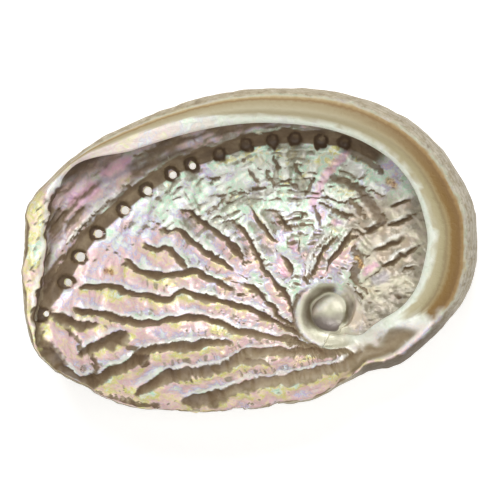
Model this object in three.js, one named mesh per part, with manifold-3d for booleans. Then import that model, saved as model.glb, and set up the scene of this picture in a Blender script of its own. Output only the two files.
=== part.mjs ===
// An abalone shell (sea ear) lying on its back like a dish, as one closed solid.
// Units are millimetres, +Z is up, and the origin is the middle of the shell's footprint on the table.
//
// The shell is lofted round the eye of its spire. At each bearing from the eye a section runs from the
// apex under the spire, out along the back, up the flank, over the rim, along the shelf of the inner lip,
// round the shelf's free edge, back under it, down the wall and over the floor to the bottom of the eye.
// Guide lines give the places of the section's points as the bearing turns.
import * as THREE from "three";
import { ParametricGeometry } from "three/addons/geometries/ParametricGeometry.js";
import { mergeVertices } from "three/addons/utils/BufferGeometryUtils.js";
import Module from "manifold-3d";

// Driving dimensions.
const EYE = new THREE.Vector2(26.4, -20.8); // plan position of the spire's eye
const APEX_HEIGHT = 6.5; // the spire's tip outside
const EYE_FLOOR = 9.6; // the bottom of the eye inside
const COLUMNS = 96; // bearings in the loft
const CROWDING = 0.4; // 0 spaces them evenly by angle, 1 evenly along the rim
const BEARING_STEPS = 720; // how finely the rim is measured to space them
const WELD_GAP = 1e-4; // points closer than this are one point
const PORE_RADIUS = 1.35; // the open breathing pores
const PORE_LEAN = THREE.MathUtils.degToRad(12); // how far a pore leans out towards the rim
const DRILL_LENGTH = 24; // more than the wall is thick
const DRILL_SIDES = 12;
const WEAR = 0.45; // how much the lowest part of the back is rubbed flat
const CUTTER_SIDE = 200; // the block that cuts the flat, wider than the shell
const CUTTER_DEPTH = 20;

// The outline seen from above: [bearing in degrees, distance from the eye].
const OUTLINE = [
  [-175, 98], [-169, 93], [-163.5, 84], [-156, 72.5], [-149, 61.5], [-138.6, 47.5], [-125, 37],
  [-111.7, 31], [-100, 28], [-80, 23.8], [-58, 23], [-33, 29], [-20, 32.3], [-5.6, 38],
  [8.6, 46], [18.7, 51], [27.9, 55], [38.3, 60], [48, 63], [57, 66], [67.6, 69],
  [78, 71], [89, 73], [101, 75.5], [112.5, 79.2], [123.5, 83.5], [134.3, 89], [144.7, 95.8],
  [153, 101], [161, 105], [168.6, 103], [176, 100.3],
];

// Lines of the back: [bearing, distance from the eye, height].
const BACK = [
  [-175, 42, 5.2], [-150, 28, 10], [-125, 17, 10.8], [-100, 14, 10], [-50, 11.5, 8],
  [-30, 13, 7.5], [0, 18, 6.8], [30, 24, 5.2], [60, 29, 3.4], [90, 33, 1.8], [120, 37, 0.6],
  [140, 40, 0.9], [150, 42, 1.6], [165, 43, 3.6],
];
const SIDE = [
  [-175, 80, 18.5], [-150, 47, 20.5], [-125, 28, 20.5], [-100, 23, 18.5],
  [-50, 20, 13], [-30, 24, 12], [0, 34.5, 11.5], [30, 46.5, 10.5], [60, 54.5, 9.5],
  [90, 60.5, 10], [120, 68, 12.5], [140, 75.5, 15.5], [150, 80, 18], [165, 87.5, 22],
];

// Lines near the rim: [bearing, inset from the outline, height].
const FLANK = [
  [-175, 0, 34.3], [-150, 0, 33.6], [-125, 0, 31.5], [-100, 0, 28], [-50, 0, 20],
  [-30, 0, 19], [0, 0, 19.5], [30, 0, 21], [60, 0, 23], [90, 0, 25], [120, 0, 27.5], [140, 0, 30.5],
  [150, 0, 33], [165, 0, 35],
];
const CREST = [
  [-175, 0.5, 35.5], [-150, 0.5, 34.8], [-125, 0.6, 33], [-100, 0.8, 30.8],
  [-50, 3.8, 28], [-30, 3.8, 29], [0, 4.2, 31.5], [30, 5.2, 34.2], [60, 4.6, 35.8], [90, 2.8, 36.8],
  [120, 2.2, 37.3], [140, 1.5, 37.3], [150, 0.9, 37], [165, 0.5, 36.4],
];
const BAND = [
  [-175, 1.3, 35.2], [-150, 1.3, 34.2], [-125, 1.4, 32.2], [-100, 1.6, 29.8],
  [-50, 6, 23.4], [-30, 8, 24.9], [0, 10.8, 29.6], [30, 11, 33.4], [60, 9.6, 35.2],
  [90, 7.2, 36.4], [120, 5, 37], [140, 3.6, 37.1], [150, 1.5, 36.9], [165, 2.2, 36.2],
];
const SHELF = [
  [-175, 2.2, 34.3], [-150, 2.4, 33.2], [-125, 2.6, 30.8], [-100, 2.8, 28.2],
  [-50, 10, 22], [-30, 12.6, 24.9], [0, 16, 28.9], [30, 15.5, 32.4], [60, 13, 34],
  [90, 10.3, 35.2], [120, 8.2, 36], [140, 6.2, 36.3], [150, 2, 36.6], [165, 5, 35.3],
];
const EDGE = [
  [-175, 3, 33.2], [-150, 3.8, 32], [-125, 3.8, 29.4], [-100, 3.9, 26.6],
  [-50, 15.3, 19], [-30, 16.9, 21.8], [0, 21.2, 26.4], [30, 20.3, 30.2],
  [60, 15.9, 32.2], [90, 12.7, 33.6], [120, 10.9, 34.5], [140, 8.9, 35.2], [150, 2.4, 36.2],
  [165, 7.4, 33.5],
];
const UNDER = [
  [-175, 4, 32], [-150, 5.2, 30.8], [-125, 5, 28], [-100, 5, 25.2], [-50, 15.4, 17.2],
  [-30, 16.4, 20], [0, 20.6, 24.6], [30, 19.6, 28.6], [60, 15.3, 30.8], [90, 12.1, 32.3],
  [120, 10.4, 33.3], [140, 8.6, 34.2], [150, 2.7, 35.6], [165, 9, 31.2],
];
const BAY = [
  [-175, 6.5, 30], [-150, 8, 28.5], [-125, 7.5, 25.5], [-100, 6.8, 23], [-50, 15.6, 14.6],
  [-30, 9.6, 17.6], [0, 4.8, 20.6], [30, 4.2, 23], [60, 4, 25], [90, 3.8, 26.5], [120, 3.8, 28.5],
  [140, 4.6, 30.5], [150, 4.2, 33], [165, 11.5, 28],
];

// Lines of the floor: [bearing, distance from the eye, height].
const SHOULDER = [
  [-175, 80, 22], [-150, 45, 22.5], [-125, 25, 21.8], [-100, 19, 20.4],
  [-50, 7.8, 12.6], [-30, 15.5, 14], [0, 28, 15.5], [30, 40, 13], [60, 49, 12.5],
  [90, 56.3, 13], [120, 63, 15], [140, 70, 17.5], [150, 75, 20], [165, 83, 24],
];
const DEEP = [
  [-175, 42, 8.5], [-150, 28, 14.5], [-125, 17, 17.2], [-100, 14.2, 17.6],
  [-50, 7.2, 11.8], [-30, 9.5, 11.6], [0, 15, 11.5], [30, 22, 9.5], [60, 28, 7.5],
  [90, 33, 5], [120, 37, 4], [140, 40, 4.5], [150, 42, 5], [165, 43, 7],
];
const APRON = [
  [-175, 12, 15.2], [-125, 11.5, 16.4], [-100, 11, 17.2],
  [-50, 6.5, 11.4], [-30, 7.5, 11], [0, 8.5, 10.9], [30, 10, 10.3], [60, 11, 11], [90, 11.5, 13],
  [120, 11.8, 14.4], [150, 12, 15],
];
const RING = [
  [-175, 9, 16.2], [-125, 8.8, 17.2], [-100, 8.6, 17.8], [-50, 6, 11.2],
  [-30, 6.3, 10.7], [0, 7, 10.6], [30, 8, 10.6], [60, 8.6, 12], [90, 8.9, 14],
  [120, 9, 15.2], [150, 9.2, 15.9],
];
const EYE_EDGE = [
  [-175, 6.6, 15.4], [-125, 6.2, 16.4], [-100, 6.1, 17], [-50, 5.5, 11],
  [-30, 5.4, 10.5], [0, 5.8, 10.4], [30, 6.8, 10.3], [60, 7.3, 11.4], [90, 7.3, 13.2],
  [120, 7.4, 14.4], [150, 7.6, 15.1],
];
const EYE_WALL = [
  [-175, 5.7, 11.5], [-100, 5.5, 12.3], [-50, 4.7, 10.6], [-30, 4.5, 10.2], [30, 5, 10],
  [90, 5.9, 10.8], [150, 6.1, 11.2],
];
const EYE_FOOT = [[-175, 3.4, 10], [0, 3.4, 10]];

// The section's guide lines in order, each with how it is measured and the rows of mesh that lead to it.
const SECTION = [
  { line: BACK, rows: 4 },
  { line: SIDE, rows: 4 },
  { line: FLANK, rows: 4, inset: true },
  { line: CREST, rows: 3, inset: true },
  { line: BAND, rows: 1, inset: true },
  { line: SHELF, rows: 1, inset: true },
  { line: EDGE, rows: 1, inset: true },
  { line: UNDER, rows: 1, inset: true },
  { line: BAY, rows: 3, inset: true },
  { line: SHOULDER, rows: 4 },
  { line: DEEP, rows: 4 },
  { line: APRON, rows: 4 },
  { line: RING, rows: 1 },
  { line: EYE_EDGE, rows: 1 },
  { line: EYE_WALL, rows: 1 },
  { line: EYE_FOOT, rows: 1 },
];
const LAST_ROWS = 1; // from the eye's foot to its middle

// Below the eye the shelf's free edge runs on as the edge of the eye.
const JOIN_FROM = -50; // up to this bearing the step is the shelf's
const JOIN_TO = -100; // from this bearing on it is the eye's

// The open breathing pores: [bearing, distance from the eye] of each, newest first.
const PORES = [
  [179, 93.3], [173, 87], [167, 84.3], [160.8, 80.9], [153, 75.9], [145.8, 72.8], [138.2, 69.6],
  [132.5, 66.8],
];

// A value along a closed guide line, by monotone cubic interpolation, so that it never overshoots.
function along(line, degrees, field) {
  const count = line.length;
  const at = (i) => {
    const turn = Math.floor(i / count);
    const entry = line[i - turn * count];
    return [entry[0] + 360 * turn, entry[field]];
  };
  let i = count - 1;
  while (i > 0 && line[i][0] > degrees) i -= 1;
  if (line[0][0] > degrees) i = -1;
  const slope = (k) => (at(k + 1)[1] - at(k)[1]) / (at(k + 1)[0] - at(k)[0]);
  const tangent = (k) => {
    const before = slope(k - 1);
    const after = slope(k);
    return before * after <= 0 ? 0 : (2 * before * after) / (before + after);
  };
  const [x0, y0] = at(i);
  const [x1, y1] = at(i + 1);
  const width = x1 - x0;
  const t = (degrees - x0) / width;
  return (
    y0 * (1 + 2 * t) * (1 - t) ** 2 + tangent(i) * width * t * (1 - t) ** 2 +
    y1 * t * t * (3 - 2 * t) + tangent(i + 1) * width * t * t * (t - 1)
  );
}

// The curve parameter of each row of mesh, from the apex to the middle of the eye.
const ROW_PARAMETERS = [0];
const LEGS = [...SECTION.map(({ rows }) => rows), LAST_ROWS];
LEGS.forEach((rows, leg) => {
  for (let row = 1; row <= rows; row += 1) ROW_PARAMETERS.push((leg + row / rows) / LEGS.length);
});

// The row of mesh that lies on a guide line.
function rowOf(line) {
  const leg = SECTION.findIndex((entry) => entry.line === line);
  return LEGS.slice(0, leg + 1).reduce((sum, rows) => sum + rows, 0);
}

// A section through the guide lines: a point at distance x and height y for each row of mesh.
function guidedSection(degrees) {
  const outline = along(OUTLINE, degrees, 1);
  const points = SECTION.map(({ line, inset }) => {
    const reach = along(line, degrees, 1);
    return new THREE.Vector3(inset ? outline - reach : reach, along(line, degrees, 2), 0);
  });
  points.unshift(new THREE.Vector3(0, APEX_HEIGHT, 0));
  points.push(new THREE.Vector3(0, EYE_FLOOR, 0));
  const curve = new THREE.CatmullRomCurve3(points, false, "centripetal");
  return ROW_PARAMETERS.map((parameter) => curve.getPoint(parameter));
}

// Where each row lies on its section: 0 at the apex, 1 at the crest, 2 at the step, 3 in the eye.
function shares(section, stepRow) {
  const lengths = [0];
  for (let row = 1; row < section.length; row += 1) {
    lengths.push(lengths[row - 1] + section[row].distanceTo(section[row - 1]));
  }
  const marks = [0, rowOf(CREST), stepRow, section.length - 1];
  return lengths.map((length, row) => {
    const span = row === 0 ? 0 : marks.findIndex((mark) => mark >= row) - 1;
    const from = lengths[marks[span]];
    return span + (length - from) / (lengths[marks[span + 1]] - from);
  });
}

// The point of a section at a share.
function pointAt(section, sectionShares, share) {
  let row = 1;
  while (row < section.length - 1 && sectionShares[row] < share) row += 1;
  const from = sectionShares[row - 1];
  const part = (share - from) / (sectionShares[row] - from);
  return section[row - 1].clone().lerp(section[row], part);
}

const SHELF_STEP = guidedSection(JOIN_FROM);
const EYE_STEP = guidedSection(JOIN_TO);
const SHELF_SHARES = shares(SHELF_STEP, rowOf(EDGE));
const EYE_SHARES = shares(EYE_STEP, rowOf(EYE_EDGE));

// In the join the rows slide over the step, so that the step itself runs on unbroken.
function joinedSection(degrees) {
  const turn = (JOIN_FROM - degrees) / (JOIN_FROM - JOIN_TO);
  const outline = along(OUTLINE, degrees, 1);
  return SHELF_SHARES.map((shelfShare, row) => {
    const share = THREE.MathUtils.lerp(shelfShare, EYE_SHARES[row], turn);
    const point = pointAt(SHELF_STEP, SHELF_SHARES, share);
    point.lerp(pointAt(EYE_STEP, EYE_SHARES, share), turn);
    const blended = THREE.MathUtils.lerp(
      along(OUTLINE, JOIN_FROM, 1), along(OUTLINE, JOIN_TO, 1), turn,
    );
    point.x += (outline - blended) * (point.x / blended) ** 2;
    return point;
  });
}

function sectionAt(degrees) {
  return degrees < JOIN_FROM && degrees > JOIN_TO ? joinedSection(degrees) : guidedSection(degrees);
}

// Bearings are spaced so that columns stand about evenly along the rim rather than about the eye.
function bearings() {
  const sums = [0];
  for (let i = 0; i < BEARING_STEPS; i += 1) {
    const degrees = -180 + ((i + 0.5) * 360) / BEARING_STEPS;
    sums.push(sums[i] + along(OUTLINE, degrees, 1) ** CROWDING);
  }
  return Array.from({ length: COLUMNS + 1 }, (_, column) => {
    const wanted = (sums[BEARING_STEPS] * column) / COLUMNS;
    let i = 0;
    while (i < BEARING_STEPS - 1 && sums[i + 1] < wanted) i += 1;
    return -180 + ((i + (wanted - sums[i]) / (sums[i + 1] - sums[i])) * 360) / BEARING_STEPS;
  });
}

// Indexed, welded triangles with none that have collapsed, as manifold-3d wants them.
function weld(geometry) {
  const bare = geometry.clone();
  bare.deleteAttribute("normal");
  bare.deleteAttribute("uv");
  const welded = mergeVertices(bare, WELD_GAP);
  const kept = [];
  const index = welded.index.array;
  for (let i = 0; i < index.length; i += 3) {
    const [a, b, c] = index.slice(i, i + 3);
    if (a !== b && b !== c && a !== c) kept.push(a, b, c);
  }
  welded.setIndex(kept);
  return welded;
}

const wasm = await Module();
wasm.setup();

function toSolid(geometry) {
  const welded = weld(geometry);
  return new wasm.Manifold(new wasm.Mesh({
    numProp: 3,
    vertProperties: new Float32Array(welded.attributes.position.array),
    triVerts: new Uint32Array(welded.index.array),
  }));
}

function toGeometry(solid) {
  const mesh = solid.getMesh();
  const geometry = new THREE.BufferGeometry();
  geometry.setAttribute("position", new THREE.BufferAttribute(mesh.vertProperties, 3));
  geometry.setIndex(new THREE.BufferAttribute(mesh.triVerts, 1));
  return geometry;
}

// The whole sheet of the shell, inside and out, as one closed loft.
function loft() {
  const columns = bearings();
  const sections = columns.map((degrees) => sectionAt(degrees));
  const surface = (u, v, target) => {
    const column = Math.round(u * COLUMNS) % COLUMNS;
    const row = Math.round(v * (ROW_PARAMETERS.length - 1));
    const { x: reach, y: height } = sections[column][row];
    const angle = THREE.MathUtils.degToRad(columns[column]);
    target.set(EYE.x + reach * Math.cos(angle), EYE.y + reach * Math.sin(angle), height);
  };
  return new ParametricGeometry(surface, COLUMNS, ROW_PARAMETERS.length - 1);
}

// A drill for one pore, longer than the wall is thick, leaning out towards the rim.
function poreDrill([degrees, reach]) {
  const angle = THREE.MathUtils.degToRad(degrees);
  const drill = new THREE.CylinderGeometry(PORE_RADIUS, PORE_RADIUS, DRILL_LENGTH, DRILL_SIDES);
  drill.rotateX(Math.PI / 2);
  drill.rotateY(-PORE_LEAN);
  drill.rotateZ(angle);
  const height = along(SHOULDER, degrees, 2);
  return drill.translate(EYE.x + reach * Math.cos(angle), EYE.y + reach * Math.sin(angle), height);
}

// Everything under the worn level is cut away, which leaves the flat on which the shell rests.
function wearPlane() {
  const cutter = new THREE.BoxGeometry(CUTTER_SIDE, CUTTER_SIDE, CUTTER_DEPTH);
  return cutter.translate(0, 0, WEAR - CUTTER_DEPTH / 2);
}

function shellGeometry() {
  const sheet = toSolid(loft());
  const low = sheet.boundingBox().min[2];
  let solid = sheet.translate([0, 0, -low]).subtract(toSolid(wearPlane()));
  for (const pore of PORES) {
    solid = solid.subtract(toSolid(poreDrill(pore)));
  }
  const box = solid.boundingBox();
  const centred = solid.translate([
    -(box.min[0] + box.max[0]) / 2, -(box.min[1] + box.max[1]) / 2, -box.min[2],
  ]);
  return toGeometry(centred);
}

const nacre = new THREE.MeshStandardMaterial({ color: 0xd9d2c6, roughness: 0.3, metalness: 0.2 });
const shell = new THREE.Mesh(shellGeometry(), nacre);
shell.name = "shell";

const part = new THREE.Group();
part.add(shell);
export default part;
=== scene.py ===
"""An abalone shell lying on its back like a dish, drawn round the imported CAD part.

The shell starts as a flat grid that is rolled up along the shell's own guide lines. Its columns go round
the spire's eye. Its rows run along the section, from the spire's apex outside, over the rim, to the floor of
the eye inside. The folds, pores, growth lines and crust are then raised on it, so the looks follow the same
section lines as the CAD solid.
Guide lines are in millimetres: bearing from the eye in degrees, distance from it or inset, and height.
"""

import bpy
import numpy as np
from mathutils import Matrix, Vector


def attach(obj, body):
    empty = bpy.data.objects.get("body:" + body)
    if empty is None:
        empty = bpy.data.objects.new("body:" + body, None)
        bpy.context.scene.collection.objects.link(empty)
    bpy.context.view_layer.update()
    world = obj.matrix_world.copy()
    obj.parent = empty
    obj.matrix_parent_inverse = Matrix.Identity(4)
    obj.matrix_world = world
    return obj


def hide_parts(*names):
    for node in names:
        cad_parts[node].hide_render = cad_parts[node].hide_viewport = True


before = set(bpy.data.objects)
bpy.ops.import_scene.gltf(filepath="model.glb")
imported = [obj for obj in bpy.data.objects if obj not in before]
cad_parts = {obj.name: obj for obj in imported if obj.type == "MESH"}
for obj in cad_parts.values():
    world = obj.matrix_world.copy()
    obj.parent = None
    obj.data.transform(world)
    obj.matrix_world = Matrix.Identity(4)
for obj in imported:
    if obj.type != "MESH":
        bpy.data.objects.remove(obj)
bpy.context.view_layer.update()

MM = 0.001
EYE = np.array([26.4, -20.8])
APEX_HEIGHT = 6.5
EYE_FLOOR = 9.6
WEAR = 0.45  # how much of the lowest part of the back is rubbed flat

# Relief on the inside: the share of each fold's height that is raised, and millimetres for the rest.
FOLD_LIFT = 1.5
RUNG_DEPTH = 0.3
PIT_DEPTH = 1.5
TROUGH_DEPTH = 1.0
RIDGE_HEIGHT = 0.45
BRIGHT_HEIGHT = 0.6
DARK_DEPTH = 0.5
RING_HEIGHT = 0.8
FOLD_FADE = 3.6  # how far a fold's height spreads from its line
FOLD_MARGIN = 12  # how far past the box round its points a fold reaches

# Relief on the back, and the chips in the lip, in millimetres.
GROWTH_HEIGHT = 0.2
GROWTH_STEP = 3.1
GROWTH_ROUGHNESS = 0.3
CRUST_HEIGHT = 0.32
KNOB_HEIGHT = 0.6
RAY_HEIGHT = 0.2
RAYS = 34
TUBE_HEIGHT = 1.6
FOLD_SHOW = 0.6
CHIP_DEPTH = 1.2
FINE_CHIP_DEPTH = 0.4

MERGE_GAP = 0.002
DRILL_SIDES = 24
DRILL_LENGTH = 30

# The stage and the camera, in metres and millimetres of lens.
FLOOR_SIZE = 1.6
FLOOR_GREY = 0.86
FLOOR_GLOW = 0.45
AIR_LIGHT = 0.14
AIM = (0, 0, 0.02)
LENS = 200
SENSOR = 36
RIM_HEIGHT = 0.029
SPAN = 0.16375  # the width seen at the rim's height
CAMERA_X = -0.0003

# The shell's guide lines, and the outline that insets are measured from.
OUTLINE = [
    (-175, 98), (-169, 93), (-163.5, 84), (-156, 72.5), (-149, 61.5), (-138.6, 47.5), (-125, 37),
    (-111.7, 31), (-100, 28), (-80, 23.8), (-58, 23), (-33, 29), (-20, 32.3), (-5.6, 38),
    (8.6, 46), (18.7, 51), (27.9, 55), (38.3, 60), (48, 63), (57, 66), (67.6, 69),
    (78, 71), (89, 73), (101, 75.5), (112.5, 79.2), (123.5, 83.5), (134.3, 89), (144.7, 95.8),
    (153, 101), (161, 105), (168.6, 103), (176, 100.3),
]
BACK = [
    (-175, 42, 5.2), (-150, 28, 10), (-125, 17, 10.8), (-100, 14, 10), (-50, 11.5, 8),
    (-30, 13, 7.5), (0, 18, 6.8), (30, 24, 5.2), (60, 29, 3.4), (90, 33, 1.8), (120, 37, 0.6),
    (140, 40, 0.9), (150, 42, 1.6), (165, 43, 3.6),
]
SIDE = [
    (-175, 80, 18.5), (-150, 47, 20.5), (-125, 28, 20.5), (-100, 23, 18.5),
    (-50, 20, 13), (-30, 24, 12), (0, 34.5, 11.5), (30, 46.5, 10.5), (60, 54.5, 9.5),
    (90, 60.5, 10), (120, 68, 12.5), (140, 75.5, 15.5), (150, 80, 18), (165, 87.5, 22),
]
FLANK = [
    (-175, 0, 34.3), (-150, 0, 33.6), (-125, 0, 31.5), (-100, 0, 28), (-50, 0, 20),
    (-30, 0, 19), (0, 0, 19.5), (30, 0, 21), (60, 0, 23), (90, 0, 25), (120, 0, 27.5), (140, 0, 30.5),
    (150, 0, 33), (165, 0, 35),
]
CREST = [
    (-175, 0.5, 35.5), (-150, 0.5, 34.8), (-125, 0.6, 33), (-100, 0.8, 30.8),
    (-50, 3.8, 28), (-30, 3.8, 29), (0, 4.2, 31.5), (30, 5.2, 34.2), (60, 4.6, 35.8), (90, 2.8, 36.8),
    (120, 2.2, 37.3), (140, 1.5, 37.3), (150, 0.9, 37), (165, 0.5, 36.4),
]
BAND = [
    (-175, 1.3, 35.2), (-150, 1.3, 34.2), (-125, 1.4, 32.2), (-100, 1.6, 29.8),
    (-50, 6, 23.4), (-30, 8, 24.9), (0, 10.8, 29.6), (30, 11, 33.4), (60, 9.6, 35.2),
    (90, 7.2, 36.4), (120, 5, 37), (140, 3.6, 37.1), (150, 1.5, 36.9), (165, 2.2, 36.2),
]
SHELF = [
    (-175, 2.2, 34.3), (-150, 2.4, 33.2), (-125, 2.6, 30.8), (-100, 2.8, 28.2),
    (-50, 10, 22), (-30, 12.6, 24.9), (0, 16, 28.9), (30, 15.5, 32.4), (60, 13, 34),
    (90, 10.3, 35.2), (120, 8.2, 36), (140, 6.2, 36.3), (150, 2, 36.6), (165, 5, 35.3),
]
EDGE = [
    (-175, 3, 33.2), (-150, 3.8, 32), (-125, 3.8, 29.4), (-100, 3.9, 26.6),
    (-50, 15.3, 19), (-30, 16.9, 21.8), (0, 21.2, 26.4), (30, 20.3, 30.2),
    (60, 15.9, 32.2), (90, 12.7, 33.6), (120, 10.9, 34.5), (140, 8.9, 35.2), (150, 2.4, 36.2),
    (165, 7.4, 33.5),
]
UNDER = [
    (-175, 4, 32), (-150, 5.2, 30.8), (-125, 5, 28), (-100, 5, 25.2), (-50, 15.4, 17.2),
    (-30, 16.4, 20), (0, 20.6, 24.6), (30, 19.6, 28.6), (60, 15.3, 30.8), (90, 12.1, 32.3),
    (120, 10.4, 33.3), (140, 8.6, 34.2), (150, 2.7, 35.6), (165, 9, 31.2),
]
BAY = [
    (-175, 6.5, 30), (-150, 8, 28.5), (-125, 7.5, 25.5), (-100, 6.8, 23), (-50, 15.6, 14.6),
    (-30, 9.6, 17.6), (0, 4.8, 20.6), (30, 4.2, 23), (60, 4, 25), (90, 3.8, 26.5), (120, 3.8, 28.5),
    (140, 4.6, 30.5), (150, 4.2, 33), (165, 11.5, 28),
]
SHOULDER = [
    (-175, 80, 22), (-150, 45, 22.5), (-125, 25, 21.8), (-100, 19, 20.4),
    (-50, 7.8, 12.6), (-30, 15.5, 14), (0, 28, 15.5), (30, 40, 13), (60, 49, 12.5),
    (90, 56.3, 13), (120, 63, 15), (140, 70, 17.5), (150, 75, 20), (165, 83, 24),
]
DEEP = [
    (-175, 42, 8.5), (-150, 28, 14.5), (-125, 17, 17.2), (-100, 14.2, 17.6),
    (-50, 7.2, 11.8), (-30, 9.5, 11.6), (0, 15, 11.5), (30, 22, 9.5), (60, 28, 7.5),
    (90, 33, 5), (120, 37, 4), (140, 40, 4.5), (150, 42, 5), (165, 43, 7),
]
APRON = [
    (-175, 12, 15.2), (-125, 11.5, 16.4), (-100, 11, 17.2),
    (-50, 6.5, 11.4), (-30, 7.5, 11), (0, 8.5, 10.9), (30, 10, 10.3), (60, 11, 11), (90, 11.5, 13),
    (120, 11.8, 14.4), (150, 12, 15),
]
RING = [
    (-175, 9, 16.2), (-125, 8.8, 17.2), (-100, 8.6, 17.8), (-50, 6, 11.2),
    (-30, 6.3, 10.7), (0, 7, 10.6), (30, 8, 10.6), (60, 8.6, 12), (90, 8.9, 14),
    (120, 9, 15.2), (150, 9.2, 15.9),
]
EYE_EDGE = [
    (-175, 6.6, 15.4), (-125, 6.2, 16.4), (-100, 6.1, 17), (-50, 5.5, 11),
    (-30, 5.4, 10.5), (0, 5.8, 10.4), (30, 6.8, 10.3), (60, 7.3, 11.4), (90, 7.3, 13.2),
    (120, 7.4, 14.4), (150, 7.6, 15.1),
]
EYE_WALL = [
    (-175, 5.7, 11.5), (-100, 5.5, 12.3), (-50, 4.7, 10.6), (-30, 4.5, 10.2), (30, 5, 10),
    (90, 5.9, 10.8), (150, 6.1, 11.2),
]
EYE_FOOT = [(-175, 3.4, 10), (0, 3.4, 10)]

# The section's guide lines in order, whether each is an inset from the outline, and the mesh rows to it.
SECTION = [
    (BACK, False, 12), (SIDE, False, 12), (FLANK, True, 12), (CREST, True, 8), (BAND, True, 6),
    (SHELF, True, 6), (EDGE, True, 6), (UNDER, True, 3), (BAY, True, 8), (SHOULDER, False, 26),
    (DEEP, False, 56), (APRON, False, 46), (RING, False, 6), (EYE_EDGE, False, 6),
    (EYE_WALL, False, 5), (EYE_FOOT, False, 5),
]
LAST_ROWS = 4  # from the last guide line to the middle of the eye's floor
COLUMNS = 720
TRIANGLES = 190000  # about as many as are left once the mesh is thinned
# The guide lines that are the crest, the shelf's edge and the eye's edge, counted from 1.
CREST_LEG = 4
EDGE_LEG = 7
EYE_EDGE_LEG = 14
# The bearings between which the shelf's edge runs over into the eye's.
JOIN_FROM = -50.0
JOIN_TO = -100.0

# The folds of the floor, each from its outer end inwards: (height, half width of its foot, points).
# The left side of each line, looking along it, is the fold's high side.
FOLDS = [
    (1.5, 1.0, [(-24, 14), (-19.5, 14), (-17.5, 11), (-5.5, 3), (-2.5, -3.5), (-1.5, -3)]),
    (1.5, 1.0, [(-30, 8.5), (-26.5, 6.5), (-24, 8), (-19.5, 3.5), (-4.5, -7)]),
    (1.3, 1.0, [(-35.5, 3.5), (-33.5, 1), (-30.5, 0), (-28, 1.5), (-25, -0.5), (-21.5, -7)]),
    (1.7, 1.2, [(-42, -2), (-39.5, -5), (-32, -8), (-29, -8.5), (-18.5, -6.5), (-15.5, -8.5),
                (-4.5, -13)]),
    (1.6, 1.1, [(-3, -11), (0.5, -12), (3.5, -14), (8, -19.5), (16.5, -26), (18.5, -29)]),
    (1.8, 1.25, [(-57.5, -12), (-47, -11), (-39.5, -14), (-33, -14.5), (-26.5, -16.5), (-24, -14),
                 (-21.5, -13), (-14.5, -16), (-10.5, -16), (-6, -18), (2.5, -19.5), (18.5, -29)]),
    (1.8, 1.25, [(-59, -18.5), (-54, -20), (-48.5, -20), (-40.5, -23.5), (-31, -24), (-22, -21.5),
                 (-12.5, -22.5), (-5, -26.5), (2, -27), (30.5, -33.5), (34.5, -33.5)]),
    (1.4, 1.6, [(-66, -20), (-60, -22.5), (-54, -24.5), (-48.5, -24)]),
    (1.6, 1.3, [(-39.5, -34.5), (-35.5, -34), (-31, -32), (-16.5, -31.5), (-8.5, -30), (-4.5, -30)]),
    (1.9, 1.6, [(-38, -47), (-33, -43.5), (-23.5, -40), (-18, -40.5), (-4.5, -37.5), (3, -33),
                (23.5, -33), (29, -33.5)]),
    (1.8, 1.5, [(-23.5, -49), (-10, -48), (-3, -44), (7, -43.5), (23.5, -39.5), (39, -33.5)]),
    (1.9, 1.7, [(-68.5, -31.5), (-65, -33.5), (-59.5, -41), (-55.5, -43), (-51, -43), (-37.5, -35.5),
                (-33.5, -35)]),
    (1.4, 2.4, [(-57, -34.5), (-51, -31.5), (-45.5, -29.5), (-39, -27)]),
    (0.8, 0.9, [(-3.5, -37.5), (0.5, -36), (8, -37)]),
    (1.2, 0.9, [(0.5, 15.5), (7, 3.5), (9.5, 4.5)]),
    (1.5, 1.0, [(-5, 10), (-1, 6), (5, -7), (13, -14.5), (15, -23)]),
    (1.0, 0.8, [(-7, 3.5), (-2.5, -4)]),
    (1.0, 0.8, [(9, 13), (14.5, 7), (16, 7)]),
    (1.0, 0.8, [(10, -0.5), (14.5, -6.5), (14, -10)]),
    (0.8, 0.7, [(16.5, 5.5), (16, 0.5), (17.5, -1)]),
    (1.0, 0.5, [(21, -10), (22, -4), (30, 5.5)]),
    (0.9, 0.45, [(25, -7), (27.5, -2), (33, 4)]),
    (0.9, 0.5, [(29.5, -0.5), (35.5, 8)]),
    (0.8, 0.7, [(13, -13), (15.5, -23.5)]),
    (1.0, 0.9, [(47, 14), (54, 18)]),
    (1.0, 0.9, [(45.5, 8), (54.5, 12)]),
    (1.0, 1.2, [(41, -1), (43.5, 1), (50.5, 3.5), (53, 5.5)]),
    (1.0, 1.2, [(38, 6), (46, 9.5)]),
    (1.0, 0.9, [(44, -6), (47.5, -3.5), (56.5, 1.5)]),
    (0.8, 0.8, [(50, -7), (56, -4.5)]),
    (1.5, 1.5, [(-69.8, -31), (-69, -23), (-68.4, -13), (-67, -5), (-66.4, 4), (-66, 12), (-64, 18),
                (-60, 22.5)]),
]

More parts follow.
